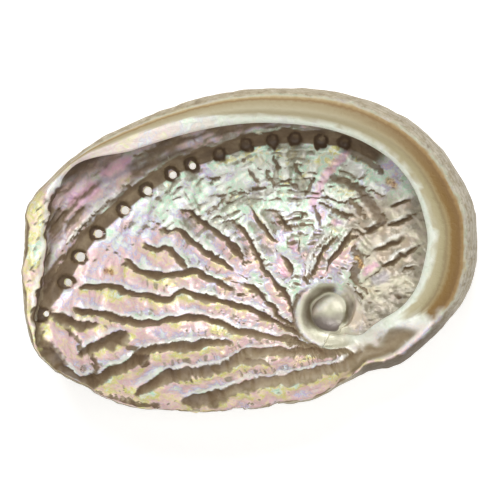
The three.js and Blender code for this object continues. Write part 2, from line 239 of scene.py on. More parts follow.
# Single marks on the nacre, as half width and the line that each follows. The dark marks are partly stains
# and scars and partly painted shade; the bright marks are painted highlights on ridges and pale patches.
PINK_MARKS = [
    (1.4, [(32.8, 32.8), (27.2, 27.8), (24.2, 22.6), (21, 16.4)]), (1.1, [(39, -7), (42, -4.5)]),
    (1.1, [(14.4, 3.5), (14.8, 1)]), (1.2, [(28.5, 10), (29.6, 9.6)]), (3, [(-57, 17), (-52, 21)]),
    (1.0, [(10, -3), (12, -8)]), (1.6, [(-48, 26), (-40, 30)]),
]
BRIGHT_MARKS = [
    (0.8, [(24.9, 21), (30.5, 16.4), (38, 19)]), (0.7, [(-60, 3), (-50, 14.5), (-38, 23.6)]),
    (2.2, [(33.5, 29), (36.5, 27)]), (1.0, [(40, 22), (44, 20)]), (0.8, [(19, -9), (20, -2), (27, 7)]),
    (0.5, [(33, -10), (35.5, -15), (33, -20)]),
    (0.4, [(31, -12.5), (34, -13.5), (37, -17)]),
    (1.5, [(22, 29), (20, 25)]), (1.3, [(11, 30), (12.5, 25)]), (1.3, [(3, 31), (5, 27.5)]),
]
DARK_MARKS = [
    (1.5, [(27.8, 24.6), (32.7, 22.3), (37.3, 20.6)]), (2.0, [(38, 18.3), (42, 14.5), (44, 10)]),
    (1.3, [(35, 0.5), (38.5, -3), (34.5, -7), (36, -10.5)]), (0.5, [(-14.4, 13.1), (-9.5, 16.4)]),
    (0.5, [(-6.2, 18.3), (-1.6, 20)]), (0.5, [(-12.8, 22.6), (-9.8, 24.2)]), (0.6, [(1, 20.6), (5.2, 21.3)]),
    (0.5, [(8.2, 22.3), (11.1, 22.9)]), (0.8, [(5.9, 26.2), (8.2, 22.3)]), (0.6, [(-9.2, 17), (-8.6, 17.4)]),
    (0.6, [(17.4, 11.3), (17.9, 11.8)]), (0.6, [(-2.2, 30.2), (-1.6, 30.8)]), (0.7, [(21.5, 24), (19, 19)]),
    (2.2, [(-66, -22), (-64.5, -8), (-63.5, 2), (-62, 12)]), (2.2, [(-68.5, -26), (-66.5, -31), (-62, -37)]),
    (0.5, [(29.5, -19), (31.5, -18.5)]), (0.35, [(34.5, -12), (38, -15.5)]),
    (0.35, [(36.5, -11.5), (40, -14.5)]),
    (0.9, [(-50, -45.5), (-44, -48.3), (-36, -50), (-30, -49.8)]),
    (0.8, [(-24, -52.5), (-14, -53), (-2, -52), (8, -50)]),
    (1.3, [(32, 34), (38, 30.8), (44, 26.5)]), (0.9, [(34, 17), (39, 11)]), (0.8, [(10, 27), (8, 31)]),
    (1.1, [(-42, -29.5), (-38.5, -33), (-34, -36.5)]), (0.9, [(-55, -33), (-57, -28), (-60.5, -23.8)]),
    (1.0, [(-52, -33), (-50, -38), (-51, -41)]),
    (0.9, [(15.5, 29), (16.5, 25.5)]), (0.8, [(0, 27), (2.5, 24)]), (0.8, [(24, 9), (22, 15)]),
    (0.8, [(26.5, 15), (33, 11)]), (0.9, [(13, 24), (16, 21)]),
]
VIOLET_MARKS = [(2.2, [(42.5, -9.5), (45, -8.5)]), (0.8, [(28, 13), (31, 9)]), (1.2, [(-50, 22), (-34, 30)])]
GOLD_MARKS = [
    (1.3, [(46.5, 23.5), (48.5, 22)]), (1.0, [(-8.2, -9.6), (-6.2, -10)]),
    (1.1, [(-47.6, -6.2), (-46, -6.6)]),
    (0.9, [(36, -2), (38, -5)]),
]

# The row of breathing pores: open ones, then those that the shell has sealed again.
OPEN_PORES = [
    (-66.8, -20.5, 0.9), (-59.8, -10.2, 1.1), (-55.8, -1.8, 1.5), (-50, 5.9, 1.3), (-41.3, 13.7, 1.3),
    (-33.8, 20.1, 1.3), (-25.5, 25.5, 1.2), (-19, 28.5, 1.1),
]
SEALED_PORES = [(-9.6, 31.6), (-0.8, 34.8), (7.8, 36.1), (15.2, 36.7), (23.8, 36.1), (31.4, 35.4)]


def smooth(low, high, value):
    """0 at low and 1 at high, with a soft start and end; low may be the larger."""
    part = np.clip((value - low) / (high - low), 0, 1)
    return part * part * (3 - 2 * part)


def lattice(i, j, seed):
    """A fixed value from 0 to 1 for each whole i and j."""
    wave = np.sin(i * 127.1 + j * 311.7 + seed * 74.7) * 43758.5453
    return wave - np.floor(wave)


def noise(x, y, seed=0):
    """Smooth noise from -1 to 1 with features one unit across."""
    i, j = np.floor(x), np.floor(y)
    u, v = smooth(0, 1, x - i), smooth(0, 1, y - j)
    low = lattice(i, j, seed) * (1 - u) + lattice(i + 1, j, seed) * u
    high = lattice(i, j + 1, seed) * (1 - u) + lattice(i + 1, j + 1, seed) * u
    return (low * (1 - v) + high * v) * 2 - 1


def cloud(x, y, seed=0, octaves=3):
    """Noise with finer and weaker noise added to it."""
    return sum(noise(x * 2**k, y * 2**k, seed + 7 * k) / 2**k for k in range(octaves))


def along(line, degrees, field):
    """A value along a closed guide line, by monotone cubic interpolation."""
    table = np.array(line, float)
    x = np.concatenate([table[-2:, 0] - 360, table[:, 0], table[:3, 0] + 360])
    y = np.concatenate([table[-2:, field], table[:, field], table[:3, field]])
    slope = np.diff(y) / np.diff(x)
    before, after = slope[:-1], slope[1:]
    total = np.where(before * after > 0, before + after, 1)
    tangent = np.where(before * after > 0, 2 * before * after / total, 0)
    x, y = x[1:-1], y[1:-1]
    i = np.clip(np.searchsorted(x, degrees, side="right") - 1, 0, len(x) - 2)
    width = x[i + 1] - x[i]
    t = (degrees - x[i]) / width
    return (
        y[i] * (1 + 2 * t) * (1 - t) ** 2 + tangent[i] * width * t * (1 - t) ** 2
        + y[i + 1] * t * t * (3 - 2 * t) + tangent[i + 1] * width * t * t * (t - 1)
    )


def curve_through(points, rows_per_leg):
    """Centripetal Catmull-Rom curves: points is (bearings, points, 2)."""
    padded = np.concatenate(
        [2 * points[:, :1] - points[:, 1:2], points, 2 * points[:, -1:] - points[:, -2:-1]], axis=1
    )
    rows = [points[:, 0]]
    for leg, count in enumerate(rows_per_leg):
        p0, p1, p2, p3 = (padded[:, leg + k] for k in range(4))
        d0, d1, d2 = (
            np.maximum(np.linalg.norm(b - a, axis=1) ** 0.5, 1e-3)[:, None]
            for a, b in ((p0, p1), (p1, p2), (p2, p3))
        )
        m1 = ((p1 - p0) / d0 - (p2 - p0) / (d0 + d1) + (p2 - p1) / d1) * d1
        m2 = ((p2 - p1) / d1 - (p3 - p1) / (d1 + d2) + (p3 - p2) / d2) * d1
        for row in range(1, count + 1):
            t = row / count
            rows.append(
                p1 + m1 * t + (3 * (p2 - p1) - 2 * m1 - m2) * t * t
                + (2 * (p1 - p2) + m1 + m2) * t**3
            )
    return np.stack(rows, axis=1)


LEG_ROWS = [rows for _, _, rows in SECTION] + [LAST_ROWS]
ROW_STARTS = np.concatenate([[0], np.cumsum(LEG_ROWS)])
ROWS = int(ROW_STARTS[-1])
# Each row's place along the section: a whole number on a guide line, and a fraction between two.
PLACE = np.interp(np.arange(ROWS + 1), ROW_STARTS, np.arange(len(ROW_STARTS)))


def guided(degrees):
    """Distance and height of every row at each bearing, straight from the guide lines."""
    degrees = np.atleast_1d(np.asarray(degrees, float))
    outline = along(OUTLINE, degrees, 1)
    points = [np.stack([np.zeros_like(degrees), np.full_like(degrees, APEX_HEIGHT)], axis=1)]
    for line, inset, _ in SECTION:
        reach = along(line, degrees, 1)
        points.append(np.stack([outline - reach if inset else reach, along(line, degrees, 2)], axis=1))
    points.append(np.stack([np.zeros_like(degrees), np.full_like(degrees, EYE_FLOOR)], axis=1))
    return curve_through(np.stack(points, axis=1), LEG_ROWS)


def shares(section, step_row):
    """How far along a section each row lies: 1 at the crest, 2 at the step and 3 at its end."""
    lengths = np.concatenate([[0], np.cumsum(np.linalg.norm(np.diff(section, axis=0), axis=1))])
    marks = [0, ROW_STARTS[CREST_LEG], step_row, ROWS]
    return np.interp(lengths, lengths[marks], [0, 1, 2, 3])


def sections(degrees):
    """Distance and height of every row at every bearing, with the shelf's step run on into the eye."""
    result = guided(degrees)
    shelf, eye = guided(JOIN_FROM)[0], guided(JOIN_TO)[0]
    shelf_shares = shares(shelf, ROW_STARTS[EDGE_LEG])
    eye_shares = shares(eye, ROW_STARTS[EYE_EDGE_LEG])
    for column in np.flatnonzero((degrees < JOIN_FROM) & (degrees > JOIN_TO)):
        turn = (JOIN_FROM - degrees[column]) / (JOIN_FROM - JOIN_TO)
        share = shelf_shares + (eye_shares - shelf_shares) * turn
        for axis in (0, 1):
            result[column, :, axis] = (
                np.interp(share, shelf_shares, shelf[:, axis]) * (1 - turn)
                + np.interp(share, eye_shares, eye[:, axis]) * turn
            )
        ends = along(OUTLINE, np.array([JOIN_FROM, JOIN_TO]), 1)
        blended = ends[0] + (ends[1] - ends[0]) * turn
        gap = along(OUTLINE, degrees[column], 1) - blended
        result[column, :, 0] += gap * (result[column, :, 0] / blended) ** 2
    return result


def bearings():
    """The columns' bearings, closer together where the rim is far from the eye."""
    fine = np.linspace(-180, 180, 1441)
    middle = (fine[:-1] + fine[1:]) / 2
    sums = np.concatenate([[0], np.cumsum(along(OUTLINE, middle, 1) ** 0.8)])
    return np.interp(np.arange(COLUMNS) * sums[-1] / COLUMNS, sums, fine)


def rounded(points):
    """Cuts the corners of a line twice, keeping its ends."""
    line = np.array(points, float)
    for _ in range(2):
        cuts = np.stack([line[:-1] * 0.75 + line[1:] * 0.25, line[:-1] * 0.25 + line[1:] * 0.75], axis=1)
        line = np.concatenate([line[:1], cuts.reshape(-1, 2), line[-1:]])
    return line


def nearest(points, x, y):
    """Signed distance to a line (left side positive) and the length along it, with its whole length."""
    line = rounded(points)
    lengths = np.concatenate([[0], np.cumsum(np.linalg.norm(np.diff(line, axis=0), axis=1))])
    best = np.full(x.shape, 1e9)
    side = np.ones_like(x)
    run = np.zeros_like(x)
    for a, b, start in zip(line[:-1], line[1:], lengths):
        step = b - a
        size = np.hypot(*step)
        t = np.clip(((x - a[0]) * step[0] + (y - a[1]) * step[1]) / size**2, 0, 1)
        gap = np.hypot(x - a[0] - t * step[0], y - a[1] - t * step[1])
        closer = gap < best
        best = np.where(closer, gap, best)
        cross = step[0] * (y - a[1]) - step[1] * (x - a[0])
        side = np.where(closer, np.where(cross >= 0, 1, -1), side)
        run = np.where(closer, start + t * size, run)
    return best * side, run, lengths[-1]


def fold_relief(x, y):
    """What the folds do at each point.

    Their height, the painted shade at their feet, the place across that shade, the run of colour and its
    weight, the painted highlight along the crest above each foot, and the short rungs over it.
    """
    wx = x + 0.6 * noise(x / 3.1, y / 3.1, 1) + 0.3 * noise(x / 1.3, y / 1.3, 2)
    wy = y + 0.6 * noise(x / 3.1, y / 3.1, 3) + 0.3 * noise(x / 1.3, y / 1.3, 4)
    spread = 1 + 0.35 * noise(x / 5.5, y / 5.5, 5)
    height, foot, across_foot, order, weights, outline, rungs = (np.zeros_like(x) for _ in range(7))
    for rise, half, points in FOLDS:
        low, high = np.min(points, axis=0) - FOLD_MARGIN, np.max(points, axis=0) + FOLD_MARGIN
        near = (wx > low[0]) & (wx < high[0]) & (wy > low[1]) & (wy < high[1])
        gap, run, whole = nearest(points, wx[near], wy[near])
        fade = smooth(-1.0, 4.0, run) * smooth(-1.0, 4.0, whole - run)
        height[near] += rise * fade * np.tanh(gap / half) * np.exp(-np.abs(gap) / FOLD_FADE)
        ends = smooth(-1, 5, run) * smooth(-1, 5, whole - run)
        width = half * spread[near] * (0.8 + 1.2 * ends)
        # The dark at a fold's foot is painted shade on the fold's steep face.
        depth = 0.45 * width - gap
        teeth = width * (0.12 * noise(run / 0.8, 0 * run, 6) + 0.22 * noise(run / 2.3, 0 * run, 8))
        dark = smooth(-0.1, 0.45, depth) * smooth(width * 1.15 + teeth, width * 0.55 + teeth, depth)
        dark *= smooth(-0.6, 2.5, run) * smooth(-0.6, 2.5, whole - run)
        stronger = dark > foot[near]
        foot[near] = np.maximum(foot[near], dark)
        across_foot[near] = np.where(stronger, depth / width, across_foot[near])
        weight = ends * np.exp(-np.abs(gap) / FOLD_FADE)
        below = 0.075 * np.clip(depth - width - 0.6, 0, 4)
        above = 0.58 - 0.07 * np.clip(-depth, 0, 4.5)
        order[near] += weight * np.where(gap < 0, below, above)
        weights[near] += weight
        # A painted highlight along the crest just above each foot.
        line = smooth(-1.3, -0.8, depth) * smooth(0.1, -0.3, depth) * ends
        outline[near] = np.maximum(outline[near], line)
        rung = smooth(0.1, 0.8, np.sin(2 * np.pi * (run + 1.5 * noise(run / 3, 0 * run, 113)) / 2.3))
        rung *= (
            smooth(-0.9, -1.5, depth) * smooth(-4.2, -3.0, depth)
            * smooth(-0.3, 0.3, noise(run / 7, half + 0 * run, 115))
        )
        rungs[near] = np.maximum(rungs[near], rung * ends * smooth(-60, -54, wx[near]))
    order /= np.maximum(weights, 1e-6)
    return height, foot, across_foot, order, np.minimum(weights * 1.6, 1), outline, rungs


def marked(marks, x, y):
    """How far each point lies in one of a list of marks."""
    wx = x + 0.4 * noise(x / 1.6, y / 1.6, 101) + 0.5 * noise(x / 0.8, y / 0.8, 103)
    wy = y + 0.4 * noise(x / 1.6, y / 1.6, 105) + 0.5 * noise(x / 0.8, y / 0.8, 107)
    found = np.zeros_like(x)
    for half, points in marks:
        low, high = np.min(points, axis=0) - 2 * half, np.max(points, axis=0) + 2 * half
        near = (wx > low[0]) & (wx < high[0]) & (wy > low[1]) & (wy < high[1])
        gap = nearest(points, wx[near], wy[near])[0]
        found[near] = np.maximum(found[near], smooth(half * 1.3, half * 0.5, np.abs(gap)))
    return found


def add_shell():
    """A flat grid with a vertex for every row and column, to be rolled up along the section lines."""
    bpy.ops.object.select_all(action="DESELECT")
    bpy.ops.mesh.primitive_grid_add(x_subdivisions=COLUMNS, y_subdivisions=ROWS, size=2)
    sheet = bpy.context.object
    sheet.name = "abalone_shell"
    flat = np.empty(len(sheet.data.vertices) * 3)
    sheet.data.vertices.foreach_get("co", flat)
    u, v = (flat.reshape(-1, 3)[:, :2].T + 1) / 2
    column = np.rint(u * COLUMNS).astype(int) % COLUMNS
    return sheet, np.rint(v * ROWS).astype(int), column


def normals_of(place):
    """Outward normals of a grid of points (rows, columns, 3) closed in the second axis."""
    down = np.empty_like(place)
    down[1:-1] = place[2:] - place[:-2]
    down[0] = place[1] - place[0]
    down[-1] = place[-1] - place[-2]
    across = np.roll(place, -1, axis=1) - np.roll(place, 1, axis=1)
    across[0] = across[1]
    across[-1] = across[-2]
    normal = np.cross(across, down)
    return normal / np.maximum(np.linalg.norm(normal, axis=2, keepdims=True), 1e-9)


shell, vertex_row, vertex_column = add_shell()

# The plain loft.
degrees = bearings()
loft = sections(degrees)
# The outer lip's edge is chipped. The chips depend on the bearing's size alone, so they meet at 180 degrees.
lip = np.maximum(smooth(150, 168, degrees), smooth(-110, -125, degrees))
turn = np.abs(degrees)
chips = (
    CHIP_DEPTH * smooth(-0.1, 0.6, noise(turn / 5, 0 * turn, 97))
    + FINE_CHIP_DEPTH * noise(turn / 1.3, 0 * turn, 99) ** 2
)
chips *= lip
outline_reach = along(OUTLINE, degrees, 1)[:, None]
loft[:, :, 0] -= chips[:, None] * (np.abs(loft[:, :, 0]) / outline_reach) ** 8
angle = np.radians(degrees)[:, None]
X = (EYE[0] + loft[:, :, 0] * np.cos(angle)).T
Y = (EYE[1] + loft[:, :, 0] * np.sin(angle)).T
Z = loft[:, :, 1].T
plain = np.stack([X, Y, Z], axis=2)
normal = normals_of(plain)
place_of = np.repeat(PLACE[:, None], COLUMNS, axis=1)
bearing = np.repeat(degrees[None, :], ROWS + 1, axis=0)
reach = loft[:, :, 0].T

# Where the section is floor. On the outer lip's side it begins at the rim, and elsewhere under the shelf.
shelf_side = smooth(-60, -40, bearing) * smooth(158, 150, bearing)
floor_from_shelf = smooth(8.3, 9.6, place_of)
floor_from_lip = smooth(4.0, 5.6, place_of)
inside = shelf_side * floor_from_shelf + (1 - shelf_side) * floor_from_lip
floor = inside * smooth(9.6, 12.5, reach)
outside = smooth(4.2, 3.6, place_of)

# The folds' relief, with the painted shade at their feet and the painted highlights on their crests.
fold_height, fold_foot_shade, across_foot, fold_order, order_weight, outline, rungs = fold_relief(X, Y)
fold_foot_shade *= 1 - 0.45 * smooth(36, 42, X)

# Pores: pits in a shallow trough, with small spurs of nacre between them.
pit = np.zeros_like(X)
pit_shade = np.zeros_like(X)
tube = np.zeros_like(X)
for px, py, _ in OPEN_PORES:
    gap = np.hypot(X - px, Y - py)
    pit = np.maximum(pit, smooth(3.1, 1.5, gap))
    pit_shade = np.maximum(pit_shade, smooth(3.2, 2.1, gap + 0.5 * noise(X / 1.4, Y / 1.4, 61)))
    tube = np.maximum(tube, np.exp(-((gap / 2.6) ** 2)))
for px, py in SEALED_PORES:
    gap = np.hypot(X - px, Y - py)
    pit = np.maximum(pit, smooth(3.0, 1.2, gap))
    pit_shade = np.maximum(pit_shade, smooth(3.0, 1.9, gap + 0.6 * noise(X / 1.4, Y / 1.4, 61)))
    pit_shade -= 0.55 * smooth(1.3, 0.5, np.hypot(X - px - 0.3, Y - py - 0.3))
    tube = np.maximum(tube, 0.5 * np.exp(-((gap / 2.4) ** 2)))
pore_line = [(-69, -26)] + [(px, py) for px, py, _ in OPEN_PORES] + SEALED_PORES + [(40, 32), (47, 26)]
pore_gap, pore_run, pore_whole = nearest(pore_line, X, Y)
pore_fade = smooth(-1, 4, pore_run) * smooth(0, 10, pore_whole - pore_run)
trough = pore_fade * smooth(5.5, 2.5, pore_gap) * smooth(-3.0, -0.5, pore_gap)

# Fine relief of the nacre: crumpled facets drawn out across the folds, and fine ripples.
fan = np.hypot(X - 18, Y + 29.5)
round_fan = np.arctan2(Y + 29.5, X - 18) * 36
warp = 1.2 * noise(X / 5, Y / 5, 13)
facet = noise((fan + warp) / 1.9, (round_fan + warp) / 4.6, 15)
crumple = 0.8 * (0.45 - np.abs(facet)) + 0.42 * cloud(X / 3.4, Y / 3.4, 11)
crumple *= 1 - 0.75 * smooth(24, 36, X)
crumple += 0.4 * cloud(X / 5, Y / 3.2, 109) * smooth(24, 36, X)
wave = np.sin(2 * np.pi * (fan + 1.5 * noise(X / 4, Y / 4, 21)) / 2.5)
dashed = smooth(-0.15, 0.45, noise((fan + warp) / 4.5, round_fan / 3.4, 23)
                + 0.5 * noise(X / 1.9, Y / 1.9, 25))
dash_zone = smooth(-8, 4, Y + 0.1 * X) * smooth(44, 32, X) * smooth(-38, -26, X)
ripple = wave * dashed * (0.04 + 0.3 * dash_zone)
# Painted shade in the troughs of the dashed ripples.
dashes = smooth(0.25, -0.5, wave) * dashed * dash_zone
streaks = 0.5 * cloud(pore_run / 9, pore_gap / 1.7, 17) * pore_fade * smooth(4, 6, pore_gap)

# The eye's ring stands proud of the floor, with a sharp foot outside.
ring = smooth(11.2, 10.4, reach + 0.3 * noise(X, Y, 19)) * smooth(11.9, 12.2, place_of)
ring *= 1 - smooth(10, 60, bearing) * smooth(125, 85, bearing)

# Below the pores the floor is drawn into short ridges that run down between them.
ridges = noise((pore_run + warp) / 2.6, pore_gap / 9, 93) + 0.4 * noise(pore_run / 1.3, pore_gap / 4, 95)
ridge_zone = pore_fade * smooth(-1.5, -4, pore_gap) * smooth(-26, -12, pore_gap) * smooth(-32, -20, X)
bright, dark_marks = marked(BRIGHT_MARKS, X, Y), marked(DARK_MARKS, X, Y)

relief = floor * (
    FOLD_LIFT * fold_height - RUNG_DEPTH * rungs + (crumple + ripple) * (1 - trough) + streaks
    - PIT_DEPTH * pit - TROUGH_DEPTH * trough
    + RIDGE_HEIGHT * ridges * ridge_zone + BRIGHT_HEIGHT * bright - DARK_DEPTH * dark_marks
)
relief += RING_HEIGHT * ring * smooth(5.0, 6.8, reach)

# The back: the folds show through, with growth lines, knobs round the pores and a rough crust.
growth = np.sin(2 * np.pi * (reach + 1.6 * noise(X / 11, Y / 11, 31)) / GROWTH_STEP)
growth_rough = np.abs(noise(reach / 1.3, np.abs(bearing) / 7, 33))
crust = cloud(X / 3.5, Y / 3.5, 41, 4)
knobs = smooth(0.35, 0.9, noise(X / 5.5 + 3, Y / 5.5, 43))
radial = np.sin(np.radians(bearing) * RAYS + 1.5 * noise(X / 9, Y / 9, 47))
below_rim = 0.25 + 0.75 * smooth(3.0, 2.2, place_of)
back = outside * below_rim * (
    GROWTH_HEIGHT * growth + GROWTH_ROUGHNESS * growth_rough + CRUST_HEIGHT * crust + KNOB_HEIGHT * knobs
    + RAY_HEIGHT * radial
)
back += outside * smooth(3.0, 2.5, place_of) * (TUBE_HEIGHT * tube - FOLD_SHOW * fold_height)
back *= smooth(0, 6, reach)

shaped = plain + normal * (relief + back)[:, :, None]
# How far the relief turns each point to face the shelf's side, where the key lamp is (+), or away from it
# (-).
# It paints shade on faces turned away and shifts the nacre's hue.
tilt = (normals_of(shaped) - normal)[:, :, 1]

# The shell stands on its worn back, centred as the solid is, and each pole is one point.
low = plain[:, :, 2].min() + WEAR
shaped[:, :, 2] = np.maximum(shaped[:, :, 2], low)
corner, far_corner = (pick(plain[:, :, :2], axis=(0, 1)) for pick in (np.min, np.max))
middle = (corner + far_corner) / 2
shift = np.array([middle[0], middle[1], low])
shaped[0] = shaped[0].mean(axis=0)
shaped[-1] = shaped[-1].mean(axis=0)
mesh = shell.data
mesh.vertices.foreach_set("co", ((shaped[vertex_row, vertex_column] - shift) * MM).ravel())


def set_attribute(name, grid):
    """Gives every point of the mesh its value from a grid of rows and columns."""
    layer = mesh.attributes.new(name, "FLOAT", "POINT")
    layer.data.foreach_set("value", grid[vertex_row, vertex_column].astype(np.float32))


# What the finish needs to know about each point.
ragged = 0.35 * cloud(X / 2.2, Y / 2.2, 51)
set_attribute("outside", smooth(4.12, 3.9, place_of + 0.3 * ragged))
# Painted shadow on the wall under the shelf's edge.
under_shelf_shade = shelf_side * smooth(7.02, 7.2, place_of) * smooth(10.0, 8.6, place_of)
wall = pore_fade * smooth(3.5, 6, pore_gap) * inside * smooth(-68.5, -65.5, X)
wall_streaks = pore_fade * smooth(3.4, 4.4, pore_gap) * smooth(0.2, -0.3, streaks) * smooth(-69, -66, X)
pore_trough = pore_fade * smooth(4.6, 3.6, pore_gap + 0.8 * noise(X / 3, Y / 3, 63))
pore_trough *= smooth(-1.4, -0.4, pore_gap)
# Painted shade in the trough inside the outer lip.
lip_trough_shade = smooth(-78, -62, bearing) * smooth(-4, -14, bearing)
lip_trough_shade *= smooth(4.1, 4.6, place_of) * smooth(6.4, 5.4, place_of + ragged)
# Painted shade at the ring's outer foot.
ring_foot_shade = np.exp(-(((reach - 11.2) / 1.1) ** 2)) * smooth(11.5, 12.2, place_of)
ring_foot_shade *= 1 - smooth(40, 80, bearing) * smooth(150, 110, bearing)
eye_shade = smooth(7.2, 6.0, reach) * smooth(14.0, 14.4, place_of)
eye_shade *= smooth(1.5, 6.0, (Y - EYE[1]) * 0.8 - (X - EYE[0]) * 0.7)
# Painted shade on the slopes that the relief turns away from the key lamp.
slope_shade = floor * smooth(0.14, 0.5, -tilt)
lip_line = (1 - shelf_side) * smooth(4.5, 3.9, place_of + 0.9 * noise(np.abs(bearing) / 4, 0 * bearing, 91))
lip_line *= smooth(3.6, 3.9, place_of)
# The brown: painted shade at the folds' feet, on slopes facing away from the key lamp, in the pits, under
# the shelf, in the lip's trough, at the ring's foot and in the eye's upper crescent; with it the dark marks
# (stains, partly painted shade), the brown of the pores' trough, the wall's streaks and the lip's edge line.
shade_and_stain = np.maximum.reduce([
    floor * fold_foot_shade, 0.8 * floor * dark_marks * smooth(-0.5, 0.1, -0.9 * streaks * wall),
    0.85 * slope_shade, floor * pore_fade * pit_shade, floor * pore_trough,
    under_shelf_shade, 0.75 * floor * wall_streaks, lip_trough_shade, 0.8 * ring_foot_shade, 0.8 * eye_shade, lip_line,
])
set_attribute("shade_and_stain", np.clip(shade_and_stain, 0, 1))
blotch = smooth(0.25, 0.7, noise(X / 6.5, Y / 4.2, 71) + 0.4 * noise(X / 2, Y / 1.6, 73)) * dash_zone
cream = smooth(27, 40, X + 4 * noise(X / 9, Y / 9, 75)) * smooth(24, 14, Y)
beside_eye = smooth(15, 11, reach) * smooth(-50, -35, bearing) * smooth(75, 45, bearing)
beside_eye *= smooth(10.5, 11, place_of) * smooth(14.2, 13.9, place_of)
# Greyish painted shade: on faces turned away from the key lamp, in the troughs of the ripples and rungs and
# between the ridges below the pores; with it dark blotches and a mottle over the cream floor.
set_attribute("shade_and_mottle", floor * np.maximum.reduce([
    smooth(0.02, 0.4, -tilt), 0.95 * dashes, 0.8 * rungs, 0.8 * blotch,
    ridge_zone * smooth(0.1, 0.8, -ridges),
    0.75 * smooth(-0.3, 0.7, cloud(X / 5, Y / 2.6, 77)) * cream,
]))
soft_streaks = 0.5 + 0.5 * cloud(pore_run / 7, pore_gap / 1.1, 87)
tone = np.where(fold_foot_shade > 0.05, across_foot, 0.3 + 0.4 * soft_streaks)
tone += 0.4 * smooth(-18, 5, X) * smooth(-22, -30, Y)
tone += (0.05 - tone) * np.maximum(under_shelf_shade, smooth(3.0, 1.6, np.abs(pit_shade - 1) * 9))
set_attribute("tone", tone)
set_attribute("wall", wall * smooth(60, 30, X))
# Painted highlights: the crest line above each fold's foot, the bright marks and the tops of the ridges
# below the pores.
ridge_light = 0.8 * ridge_zone * smooth(0.1, 0.7, ridges)
set_attribute("light", floor * np.maximum.reduce([outline, bright, ridge_light]))
set_attribute("pink", floor * marked(PINK_MARKS, X, Y))
set_attribute("gold", floor * marked(GOLD_MARKS, X, Y))
set_attribute("cream", np.maximum(floor * cream, beside_eye))
band_end = np.interp(bearing, [95, 115, 130, 150], [6.4, 5.9, 5.3, 5.1])
band = smooth(-3, 2, bearing + 8 * ragged) * smooth(170, 148, bearing)
set_attribute("band", band * smooth(3.92, 4.08, place_of + 0.2 * ragged)
              * smooth(0, -0.15, place_of + 0.5 * ragged - band_end))
set_attribute("golden", smooth(105, 45, bearing))
set_attribute("across", place_of - 4)
pinkish = smooth(112, 138, bearing) * smooth(3.9, 4.3, place_of) * smooth(7.3, 7.0, place_of) * shelf_side
on_shelf = shelf_side * smooth(4.0, 4.4, place_of) * smooth(7.3, 7.0, place_of)
set_attribute("shelf", on_shelf * (1 - 0.5 * pinkish))
towards_top = smooth(-30, 8, Y + 0.35 * X)
hue = 0.24 + 0.48 * towards_top
hue = hue * (1 - order_weight) + (fold_order + 0.22 * towards_top) * order_weight
hue += (0.04 - hue) * smooth(-63, -68, X)
hue += (0.42 + 0.2 * noise(pore_run / 9, pore_gap / 1.6, 89) - hue) * wall
hue += (0.3 + 0.25 * noise(X / 7, Y / 5, 111) - hue) * pinkish
set_attribute("hue", hue + 0.12 * tilt)

# The eye: an olive-grey ring with a paler rim, cream at its foot; cream inside, with grey-violet below.
ring_here = smooth(10.7, 10.0, reach + 0.3 * noise(X / 2, Y / 2, 79)) * smooth(12.0, 12.4, place_of)
ring_here *= 1 - smooth(20, 60, bearing) * smooth(80, 65, bearing)
ramp_outer = np.interp(bearing, [-110, -100, -50, -20], [10.6, 10.8, 13.5, 20])
ramp = smooth(-114, -100, bearing) * smooth(-24, -44, bearing) * smooth(3.8, 4.4, place_of)
ramp *= smooth(ramp_outer + 1.2, ramp_outer - 0.6, reach + ragged) * smooth(5.2, 5.8, reach)
ring_here = np.maximum(ring_here, ramp)
up = (Y - EYE[1]) / 8
ring_tone = 0.16 + 0.5 * smooth(8.4, 9.8, reach) + 0.5 * smooth(-0.2, -0.9, up)
ring_tone += (0.85 - ring_tone) * ramp + 0.15 * noise(reach / 1.2, np.abs(bearing) / 25, 81)
in_eye = smooth(13.9, 14.2, place_of)
eye_tone = 0.5 + 0.5 * smooth(-0.3, 0.4, up + 0.4 * noise(X / 3, Y / 3, 83)) - 0.3 * smooth(0, -0.7, up)
set_attribute("ring", np.maximum(ring_here, in_eye))
set_attribute("ring_tone", ring_tone * (1 - in_eye) + eye_tone * in_eye)
violet = in_eye * smooth(0.25, -0.4, up + 0.3 * noise(X / 3, Y / 3, 85))
set_attribute("violet", np.maximum(violet, 0.9 * floor * marked(VIOLET_MARKS, X, Y)))
set_attribute("dark_back", smooth(-75, -55, bearing) * smooth(10, -15, bearing) * smooth(2.4, 3.2, place_of))

bpy.ops.object.mode_set(mode="EDIT")
bpy.ops.mesh.select_all(action="SELECT")
bpy.ops.mesh.remove_doubles(threshold=MERGE_GAP * MM)
bpy.ops.mesh.normals_make_consistent(inside=False)
bpy.ops.object.mode_set(mode="OBJECT")
bpy.ops.object.shade_smooth()
thin = shell.modifiers.new("thin", "DECIMATE")
thin.ratio = TRIANGLES / (2 * COLUMNS * ROWS)
bpy.ops.object.modifier_apply(modifier=thin.name)

# The open pores are drilled right through the wall, by one set of drills.
bpy.ops.object.select_all(action="DESELECT")
drills = []
for px, py, radius in OPEN_PORES:
    bearing_here = np.degrees(np.arctan2(py - EYE[1], px - EYE[0]))
    height = along(SHOULDER, bearing_here, 2) - shift[2]
    bpy.ops.mesh.primitive_cylinder_add(
        vertices=DRILL_SIDES, radius=radius * MM, depth=DRILL_LENGTH * MM,
        location=((px - shift[0]) * MM, (py - shift[1]) * MM, height * MM),
    )
    drills.append(bpy.context.object)
for drill in drills:
    drill.select_set(True)
bpy.ops.object.join()
drill = bpy.context.object
bpy.context.view_layer.objects.active = shell
cut = shell.modifiers.new("pores", "BOOLEAN")
cut.operation = "DIFFERENCE"
cut.solver = "EXACT"
cut.object = drill
bpy.ops.object.modifier_apply(modifier=cut.name)
bpy.data.objects.remove(drill, do_unlink=True)

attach(shell, "root")
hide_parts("shell")


